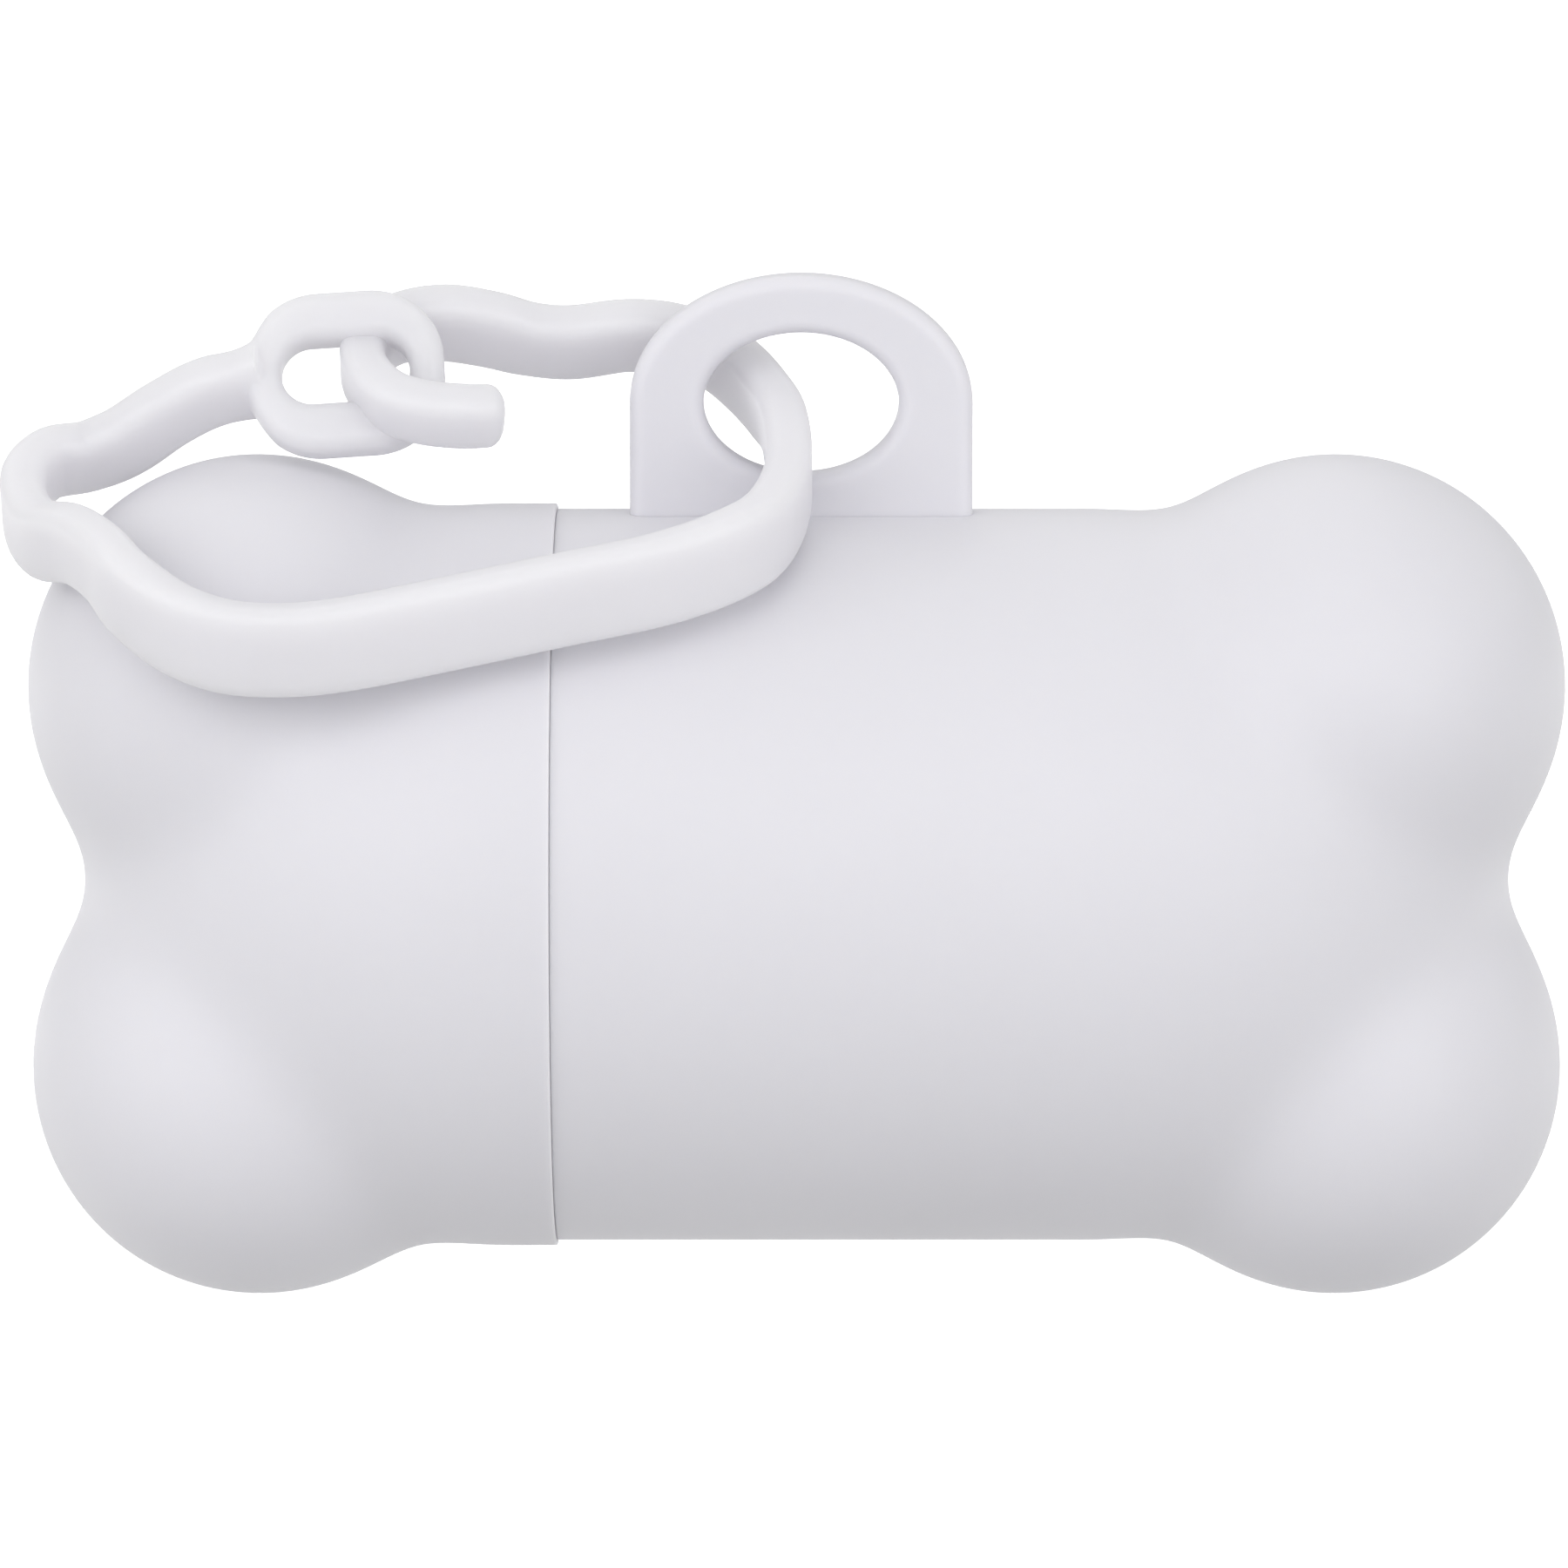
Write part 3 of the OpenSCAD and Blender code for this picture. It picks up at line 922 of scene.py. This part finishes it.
def moulded_skin() -> bpy.types.NodeTree:
    """The look shared by every moulded plastic piece: faint clouds, fine grain and specks.

    Returns:
        The group, with outputs Color, Roughness and Height.
    """
    tree, n, entry, exit_ = shared_group(
        "moulded_skin",
        {
            "Color": ("NodeSocketColor", (0.8, 0.8, 0.8, 1)),
            "Speck Color": ("NodeSocketColor", (0.42, 0.38, 0.35, 1)),
            "Roughness": ("NodeSocketFloat", 0.45),
            "Cloud": ("NodeSocketFloat", 0.03),
            "Grain Scale": ("NodeSocketFloat", 4000.0),
            "Speck Share": ("NodeSocketFloat", 0.04),
        },
        {"Color": "NodeSocketColor", "Roughness": "NodeSocketFloat", "Height": "NodeSocketFloat"},
    )
    place = n.add("ShaderNodeTexCoord").outputs["Object"]
    cloud = n.noise(place, scale=90.0, detail=3.0)
    grain = n.noise(place, scale=entry.outputs["Grain Scale"], detail=2.0)
    dots = n.add("ShaderNodeTexVoronoi", {"Vector": place, "Scale": 170.0, "Randomness": 1.0})
    chosen = n.add("ShaderNodeSeparateColor", {0: dots.outputs["Color"]}).outputs[0]
    near = n.ramp(dots.outputs["Distance"], low=0.006, high=0.013, to_low=1.0, to_high=0.0)
    rare = n.math("LESS_THAN", chosen, entry.outputs["Speck Share"])
    speck = n.math("MULTIPLY", near, rare)
    shade = n.math("SUBTRACT", 1.0, n.math("MULTIPLY", entry.outputs["Cloud"], cloud))
    tinted = n.vector("SCALE", {0: entry.outputs["Color"], "Scale": shade})
    colour = n.blend(speck, tinted, entry.outputs["Speck Color"])
    spread = n.math("MULTIPLY", n.math("SUBTRACT", cloud, 0.5), 0.12)
    rough = n.math("ADD", entry.outputs["Roughness"], spread, clamp=True)
    height = n.math("ADD", n.math("MULTIPLY", grain, 0.5), n.math("MULTIPLY", cloud, 0.8))
    for key, value in (("Color", colour), ("Roughness", rough), ("Height", height)):
        n.tree.links.new(value, exit_.inputs[key])
    return tree


@dataclass(frozen=True)
class PlasticFinish:
    """White moulded plastic."""

    name: str
    colour: Colour
    roughness: float
    cloud: float
    grain_scale: float
    grain_depth: float
    speck_share: float
    depth: float

    def build(self, skin: bpy.types.NodeTree) -> bpy.types.Material:
        """Builds the material on the shared skin group."""
        material, n = new_material(self.name)
        values = {
            "Color": (*self.colour, 1), "Roughness": self.roughness, "Cloud": self.cloud,
            "Grain Scale": self.grain_scale, "Speck Share": self.speck_share,
        }
        look = n.add("ShaderNodeGroup", values, node_tree=skin).outputs
        bump = n.bump(look["Height"], strength=0.35, distance=self.grain_depth)
        n.principled({
            "Base Color": look["Color"], "Roughness": look["Roughness"], "Normal": bump,
            "IOR": 1.46, "Subsurface Weight": 1.0, "Subsurface Radius": (1.0, 0.97, 0.94),
            "Subsurface Scale": self.depth,
        })
        return material


@dataclass(frozen=True)
class FilmFinish:
    """Thin dark film, wound tightly: layer lines on the ends and fine wrinkles outside."""

    name: str = "wound film"
    colour: Colour = (0.022, 0.024, 0.027)
    axis_z: float = -0.0271
    layer_rate: float = 42000.0
    crease_scale: Row = (160.0, 620.0, 620.0)

    def build(self) -> bpy.types.Material:
        """Builds the material."""
        material, n = new_material(self.name)
        place = n.add("ShaderNodeTexCoord").outputs["Object"]
        centred = n.vector("ADD", {0: place, 1: (0, 0, -self.axis_z)})
        flat = n.vector("MULTIPLY", {0: centred, 1: (0, 1, 1)})
        radius = n.vector("LENGTH", {0: flat}, "Value")
        layer = n.math("SINE", n.math("MULTIPLY", radius, self.layer_rate))
        stretched = {"Vector": centred, "Scale": self.crease_scale}
        crease = n.noise(n.add("ShaderNodeMapping", stretched).outputs[0], scale=1.0, detail=5.0)
        tone = n.ramp(crease, low=0.3, high=0.7, to_low=0.75, to_high=1.35)
        rough = n.ramp(crease, low=0.2, high=0.8, to_low=0.28, to_high=0.5)
        base = n.vector("SCALE", {0: self.colour, "Scale": tone})
        height = n.math("ADD", n.math("MULTIPLY", layer, 0.25), crease)
        bump = n.bump(height, strength=0.6, distance=0.00025)
        n.principled({"Base Color": base, "Roughness": rough, "Normal": bump, "IOR": 1.5})
        return material


@dataclass(frozen=True)
class CardFinish:
    """Grey-brown wound card with fibres along the tube and soft blotches."""

    name: str = "wound card"
    colour: Colour = (0.33, 0.22, 0.13)
    pale: Colour = (0.47, 0.35, 0.23)
    fibre_scale: Row = (900.0, 3200.0, 3200.0)

    def build(self) -> bpy.types.Material:
        """Builds the material."""
        material, n = new_material(self.name)
        place = n.add("ShaderNodeTexCoord").outputs["Object"]
        stretched = {"Vector": place, "Scale": self.fibre_scale}
        strand = n.noise(n.add("ShaderNodeMapping", stretched).outputs[0], scale=1.0, detail=4.0)
        blotch = n.noise(place, scale=300.0, detail=2.0)
        share = n.math("ADD", n.math("MULTIPLY", strand, 0.6), n.math("MULTIPLY", blotch, 0.4))
        share = n.ramp(share, low=0.35, high=0.65)
        base = n.blend(share, (*self.colour, 1), (*self.pale, 1))
        rough = n.ramp(strand, low=0.2, high=0.8, to_low=0.75, to_high=0.95)
        bump = n.bump(strand, strength=0.5, distance=0.0001)
        n.principled({"Base Color": base, "Roughness": rough, "Normal": bump})
        return material


class FinishRack:
    """All finishes, built once and given out by slot."""

    def __init__(self) -> None:
        """Builds the shared group and every material."""
        skin = moulded_skin()
        case = PlasticFinish(
            name="case plastic", colour=(0.775, 0.768, 0.805), roughness=0.46, cloud=0.025,
            grain_scale=3600.0, grain_depth=0.00002, speck_share=0.035, depth=0.0005,
        )
        strap = PlasticFinish(
            name="strap plastic", colour=(0.735, 0.728, 0.762), roughness=0.42, cloud=0.03,
            grain_scale=3000.0, grain_depth=0.00003, speck_share=0.05, depth=0.0055,
        )
        self.by_slot: dict[Finish, bpy.types.Material] = {
            Finish.CASE: case.build(skin),
            Finish.STRAP: strap.build(skin),
            Finish.FILM: FilmFinish().build(),
            Finish.CARD: CardFinish().build(),
        }

    def dress(self, obj: bpy.types.Object, finish: Finish) -> None:
        """Gives an object its one material."""
        obj.data.materials.clear()
        obj.data.materials.append(self.by_slot[finish])


# ---------------------------------------------------------------- the studio


@dataclass(frozen=True)
class SoftBox:
    """A square soft lamp that faces the bone.

    Its azimuth is in degrees round from the camera's side, positive to the right, and its
    elevation in degrees above the horizon. Its distance and size are in metres and its power
    is in watts.
    """

    name: str
    azimuth: float
    elevation: float
    away: float
    size: float
    power: float


@dataclass
class Studio:
    """Camera, lamps, white surroundings and floor."""

    form: BoneForm = field(default_factory=BoneForm)
    distance: float = 540.0
    elevation: float = 10.0
    scale: float = 20.76
    frame: float = 1800.0
    aim: Point = (914.5, 1003.5)
    sensor: float = 36.0
    floor_drop: float = 70.0
    floor_half: float = 8.0
    floor_paint: Colour = (0.62, 0.62, 0.62)
    floor_glow: Point = (0.42, 1.0)
    floor_fade: Point = (0.12, 0.6)
    ambient: float = 0.63
    lamps: tuple[SoftBox, ...] = (
        SoftBox("left front soft box", -45.0, 20.0, 1.1, 0.9, 2.4),
        SoftBox("front soft box", -4.0, 30.0, 1.1, 0.9, 2.2),
        SoftBox("right front soft box", 45.0, 20.0, 1.1, 0.9, 3.0),
        SoftBox("left soft box", -80.0, 15.0, 1.1, 0.7, 1.3),
        SoftBox("back soft box", -165.0, 45.0, 1.1, 0.9, 1.2),
    )

    @property
    def target(self) -> Vector:
        """The bone's middle, in metres."""
        return self.form.place.translation * MM

    def point_at_bone(self, obj: bpy.types.Object, way: Vector, away: float) -> None:
        """Adds a camera or lamp to the scene, facing the bone.

        Args:
            obj: The new object.
            way: The direction from the bone to it.
            away: Its distance from the bone in metres.
        """
        obj.location = self.target + way * away
        obj.rotation_mode = "QUATERNION"
        obj.rotation_quaternion = (-way).to_track_quat("-Z", "Y")
        bpy.context.scene.collection.objects.link(obj)

    def camera(self) -> None:
        """Sets the camera at the photograph's angle, distance and framing."""
        data = bpy.data.cameras.new("camera")
        data.sensor_width = self.sensor
        data.lens = self.sensor * self.distance * self.scale / self.frame
        data.shift_x = (self.frame / 2 - self.aim[0]) / self.frame
        data.shift_y = (self.aim[1] - self.frame / 2) / self.frame
        data.clip_start, data.clip_end = 0.01, 50.0
        camera = bpy.data.objects.new("camera", data)
        tilt = math.radians(self.elevation)
        back = Vector((0.0, -math.cos(tilt), math.sin(tilt)))
        self.point_at_bone(camera, back, self.distance * MM)
        bpy.context.scene.camera = camera

    def lamp(self, box: SoftBox) -> None:
        """Adds a soft lamp."""
        data = bpy.data.lights.new(box.name, "AREA")
        data.shape, data.size, data.energy = "SQUARE", box.size, box.power
        turn, rise = math.radians(box.azimuth), math.radians(box.elevation)
        level = math.cos(rise)
        way = Vector((math.sin(turn) * level, -math.cos(turn) * level, math.sin(rise)))
        self.point_at_bone(bpy.data.objects.new(box.name, data), way, box.away)

    def surroundings(self) -> None:
        """Lights the scene from all round, and shows plain white to the camera."""
        world = bpy.data.worlds.new("white room")
        world.use_nodes = True
        n = Nodes(world.node_tree)
        seen = n.seen("Is Camera Ray", "Is Transmission Ray")
        strength = n.ramp(seen, low=0.0, high=1.0, to_low=self.ambient, to_high=1.0)
        back = n.add("ShaderNodeBackground", {"Color": (1, 1, 1, 1), "Strength": strength})
        n.add("ShaderNodeOutputWorld", {"Surface": back.outputs[0]})
        bpy.context.scene.world = world

    def floor(self) -> None:
        """Adds the pale floor, well under the hanging case, which fades to plain white."""
        bm = bmesh.new()
        bmesh.ops.create_grid(bm, x_segments=1, y_segments=1, size=self.floor_half)
        low = self.target.z - (self.form.lobe_z + self.form.lobe_r + self.floor_drop) * MM
        bmesh.ops.translate(bm, vec=(0, 0, low), verts=bm.verts)
        obj = placed(bm, "floor")
        material, n = new_material("pale floor")
        seen = n.seen("Is Camera Ray", "Is Transmission Ray", "Is Glossy Ray")
        place = n.add("ShaderNodeTexCoord").outputs["Object"]
        away = n.vector("LENGTH", {0: place}, "Value")
        glow = n.math("MULTIPLY", seen, n.ramp(away, *self.floor_fade, *self.floor_glow))
        paint = n.add("ShaderNodeBsdfDiffuse", {"Color": (*self.floor_paint, 1)})
        shine = n.add("ShaderNodeEmission", {"Color": (1, 1, 1, 1), "Strength": glow})
        both = n.add("ShaderNodeAddShader", {0: paint.outputs[0], 1: shine.outputs[0]})
        n.add("ShaderNodeOutputMaterial", {"Surface": both.outputs[0]})
        obj.data.materials.append(material)

    def build(self) -> None:
        """Sets up the whole studio."""
        bpy.context.scene.view_settings.view_transform = "Standard"
        self.camera()
        self.surroundings()
        for box in self.lamps:
            self.lamp(box)
        self.floor()


# ---------------------------------------------------------------- assembly


@dataclass
class Dispenser:
    """The whole dressed dispenser."""

    case: Case = field(default_factory=Case)
    strap: Strap = field(default_factory=Strap)
    roll: BagRoll = field(default_factory=BagRoll)

    def build(self, frame: dict, finishes: FinishRack) -> None:
        """Builds, dresses and attaches every piece.

        Args:
            finishes: The finishes to use.
        """
        pieces = (
            (self.case.housing(), Body.HOUSING, Finish.CASE, "housing"),
            (self.case.cap(), Body.CAP, Finish.CASE, "end_cap"),
            (self.strap.build(), Body.STRAP, Finish.STRAP, "strap"),
            (self.roll.build(), Body.ROLL, Finish.FILM, "bag_roll"),
        )
        for obj, body, finish, node in pieces:
            finishes.dress(obj, finish)
            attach(obj, body.value)
            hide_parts(node)
            LOG.info("%s: %d faces, on %s", obj.name, len(obj.data.polygons), body.value)
        finishes.dress(frame["nodes"]["roll_core"], Finish.CARD)
        LOG.info("roll_core keeps its solid")


def main() -> None:
    """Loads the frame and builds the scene."""
    logging.basicConfig(level=logging.INFO, format="%(name)s: %(message)s")
    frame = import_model()
    Studio().build()
    Dispenser().build(frame, FinishRack())


if __name__ == "__main__":
    main()
